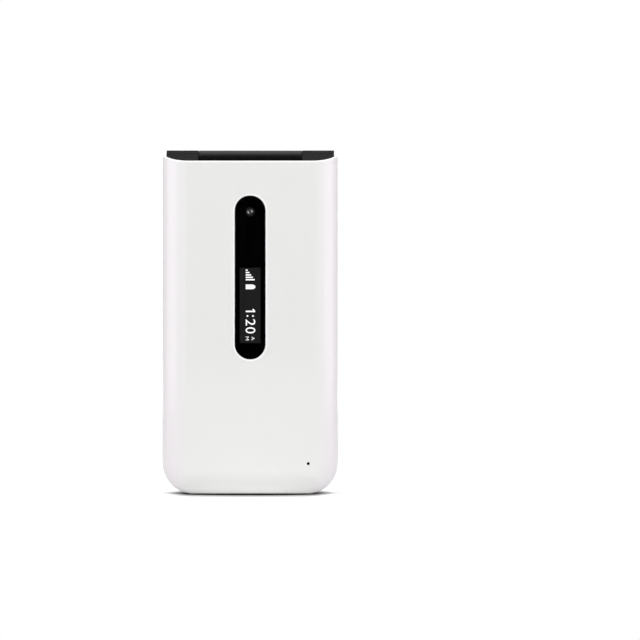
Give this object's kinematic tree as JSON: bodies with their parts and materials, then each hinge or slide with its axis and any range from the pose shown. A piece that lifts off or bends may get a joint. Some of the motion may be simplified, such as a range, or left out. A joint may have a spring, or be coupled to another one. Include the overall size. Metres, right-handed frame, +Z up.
{
  "type": "flip phone",
  "caption": "Slim clamshell mobile phone with a rounded lid on a top hinge, outer window and camera, keypad deck, removable back cover and a quick-call key.",
  "frame": {"origin": "centre of the closed phone's footprint, at its bottom edge", "axes": "+Z up along the phone towards the hinge, +X to the right seen from the lid, +Y from the lid to the back cover"},
  "size_m": [0.0584, 0.017, 0.1145],
  "materials": {
    "shell_white": "pearl white lacquer, glossy",
    "deck_white": "satin white",
    "key_white": "satin white keys",
    "key_function": "satin light grey keys",
    "housing_black": "satin black moulding",
    "gloss_black": "polished black",
    "screen": "display panel",
    "cover_glass": "clear display glass",
    "camera": "camera housing",
    "board": "circuit board",
    "steel": "plain steel",
    "tin": "thin bright shield sheet",
    "rubber": "soft black rubber",
    "silicone": "milky silicone",
    "flex": "amber flexible circuit",
    "audio": "black loudspeaker body",
    "mesh": "dark woven mesh",
    "battery": "dark battery wrap",
    "component": "black moulded components"
  },
  "bodies": {
    "base": {"base_chassis": "housing_black", "hinge_shaft": "steel", "base_flex": "flex", "keypad_plate": "deck_white", "key_sheet": "silicone", "dome_sheet": "tin", "main_board": "board", "shield_cans": "tin", "battery": "battery", "board_connectors": "component", "back_island": "gloss_black", "loudspeaker": "audio", "speaker_mesh": "mesh", "tact_switches": "component", "headset_jack": "component", "usb_port": "steel", "vibration_motor": "steel", "base_screws": "steel"},
    "lid": {"lid_cover": "shell_white", "lid_window": "gloss_black", "camera_module": "camera", "outer_display": "screen", "lid_board": "board", "main_display": "screen", "display_glass": "cover_glass", "lid_frame": "housing_black", "earpiece": "audio", "earpiece_mesh": "mesh", "lid_bumpers": "rubber", "lid_screws": "steel", "hinge_end_caps": "housing_black", "hinge_cartridge": "steel", "hinge_spring": "steel", "hinge_bush": "steel", "lid_flex": "flex"},
    "back_cover": {"back_cover": "shell_white"},
    "sos_key": {"sos_key": "gloss_black"},
    "volume_rocker": {"volume_rocker": "housing_black"},
    "nav_pivot": {"nav_pivot": "silicone"},
    "nav_ring": {"nav_ring": "key_white"},
    "ok_key": {"ok_key": "key_function"},
    "call_key": {"call_key": "key_function"},
    "clear_key": {"clear_key": "key_function"},
    "end_key": {"end_key": "key_function"},
    "shortcut_key_left": {"shortcut_key_left": "key_white"},
    "shortcut_key_right": {"shortcut_key_right": "key_white"},
    "soft_key_left": {"soft_key_left": "key_white"},
    "soft_key_right": {"soft_key_right": "key_white"},
    "key_0": {"key_0": "key_white"},
    "key_1": {"key_1": "key_white"},
    "key_2": {"key_2": "key_white"},
    "key_3": {"key_3": "key_white"},
    "key_4": {"key_4": "key_white"},
    "key_5": {"key_5": "key_white"},
    "key_6": {"key_6": "key_white"},
    "key_7": {"key_7": "key_white"},
    "key_8": {"key_8": "key_white"},
    "key_9": {"key_9": "key_white"},
    "key_star": {"key_star": "key_white"},
    "key_hash": {"key_hash": "key_white"}
  },
  "joints": [
    {"name": "lid_hinge", "type": "hinge", "parent": "base", "child": "lid", "pos_m": [0, -0.0013, 0.1103], "axis": [-1, 0, 0], "range_deg": [0, 160]},
    {"name": "back_cover_release", "type": "slide", "parent": "base", "child": "back_cover", "axis": [0, 1, 0], "range_m": [0, 0.022]},
    {"name": "sos_key_press", "type": "slide", "parent": "base", "child": "sos_key", "axis": [0, -1, 0], "range_m": [0, 0.0003], "stiffness_N_per_m": 400, "springref_m": -0.0005},
    {"name": "volume_rock", "type": "hinge", "parent": "base", "child": "volume_rocker", "pos_m": [-0.0272, 0.00245, 0.0775], "axis": [0, 1, 0], "range_deg": [-1.5, 1.5], "stiffness_Nm_per_rad": 0.4},
    {"name": "nav_side_tilt", "type": "hinge", "parent": "base", "child": "nav_pivot", "pos_m": [0, 0.00085, 0.08015], "axis": [0, 0, 1], "range_deg": [-1, 1], "stiffness_Nm_per_rad": 0.6},
    {"name": "nav_up_tilt", "type": "hinge", "parent": "nav_pivot", "child": "nav_ring", "pos_m": [0, 0.00085, 0.08015], "axis": [1, 0, 0], "range_deg": [-1, 1], "stiffness_Nm_per_rad": 0.6},
    {"name": "ok_key_press", "type": "slide", "parent": "base", "child": "ok_key", "axis": [0, 1, 0], "range_m": [0, 0.00025], "stiffness_N_per_m": 400, "springref_m": -0.0005},
    {"name": "call_key_press", "type": "slide", "parent": "base", "child": "call_key", "axis": [0, 1, 0], "range_m": [0, 0.00025], "stiffness_N_per_m": 400, "springref_m": -0.0005},
    {"name": "clear_key_press", "type": "slide", "parent": "base", "child": "clear_key", "axis": [0, 1, 0], "range_m": [0, 0.00025], "stiffness_N_per_m": 400, "springref_m": -0.0005},
    {"name": "end_key_press", "type": "slide", "parent": "base", "child": "end_key", "axis": [0, 1, 0], "range_m": [0, 0.00025], "stiffness_N_per_m": 400, "springref_m": -0.0005},
    {"name": "shortcut_key_left_press", "type": "slide", "parent": "base", "child": "shortcut_key_left", "axis": [0, 1, 0], "range_m": [0, 0.00025], "stiffness_N_per_m": 400, "springref_m": -0.0005},
    {"name": "shortcut_key_right_press", "type": "slide", "parent": "base", "child": "shortcut_key_right", "axis": [0, 1, 0], "range_m": [0, 0.00025], "stiffness_N_per_m": 400, "springref_m": -0.0005},
    {"name": "soft_key_left_press", "type": "slide", "parent": "base", "child": "soft_key_left", "axis": [0, 1, 0], "range_m": [0, 0.00025], "stiffness_N_per_m": 400, "springref_m": -0.0005},
    {"name": "soft_key_right_press", "type": "slide", "parent": "base", "child": "soft_key_right", "axis": [0, 1, 0], "range_m": [0, 0.00025], "stiffness_N_per_m": 400, "springref_m": -0.0005},
    {"name": "key_0_press", "type": "slide", "parent": "base", "child": "key_0", "axis": [0, 1, 0], "range_m": [0, 0.00025], "stiffness_N_per_m": 400, "springref_m": -0.0005},
    {"name": "key_1_press", "type": "slide", "parent": "base", "child": "key_1", "axis": [0, 1, 0], "range_m": [0, 0.00025], "stiffness_N_per_m": 400, "springref_m": -0.0005},
    {"name": "key_2_press", "type": "slide", "parent": "base", "child": "key_2", "axis": [0, 1, 0], "range_m": [0, 0.00025], "stiffness_N_per_m": 400, "springref_m": -0.0005},
    {"name": "key_3_press", "type": "slide", "parent": "base", "child": "key_3", "axis": [0, 1, 0], "range_m": [0, 0.00025], "stiffness_N_per_m": 400, "springref_m": -0.0005},
    {"name": "key_4_press", "type": "slide", "parent": "base", "child": "key_4", "axis": [0, 1, 0], "range_m": [0, 0.00025], "stiffness_N_per_m": 400, "springref_m": -0.0005},
    {"name": "key_5_press", "type": "slide", "parent": "base", "child": "key_5", "axis": [0, 1, 0], "range_m": [0, 0.00025], "stiffness_N_per_m": 400, "springref_m": -0.0005},
    {"name": "key_6_press", "type": "slide", "parent": "base", "child": "key_6", "axis": [0, 1, 0], "range_m": [0, 0.00025], "stiffness_N_per_m": 400, "springref_m": -0.0005},
    {"name": "key_7_press", "type": "slide", "parent": "base", "child": "key_7", "axis": [0, 1, 0], "range_m": [0, 0.00025], "stiffness_N_per_m": 400, "springref_m": -0.0005},
    {"name": "key_8_press", "type": "slide", "parent": "base", "child": "key_8", "axis": [0, 1, 0], "range_m": [0, 0.00025], "stiffness_N_per_m": 400, "springref_m": -0.0005},
    {"name": "key_9_press", "type": "slide", "parent": "base", "child": "key_9", "axis": [0, 1, 0], "range_m": [0, 0.00025], "stiffness_N_per_m": 400, "springref_m": -0.0005},
    {"name": "key_star_press", "type": "slide", "parent": "base", "child": "key_star", "axis": [0, 1, 0], "range_m": [0, 0.00025], "stiffness_N_per_m": 400, "springref_m": -0.0005},
    {"name": "key_hash_press", "type": "slide", "parent": "base", "child": "key_hash", "axis": [0, 1, 0], "range_m": [0, 0.00025], "stiffness_N_per_m": 400, "springref_m": -0.0005}
  ]
}
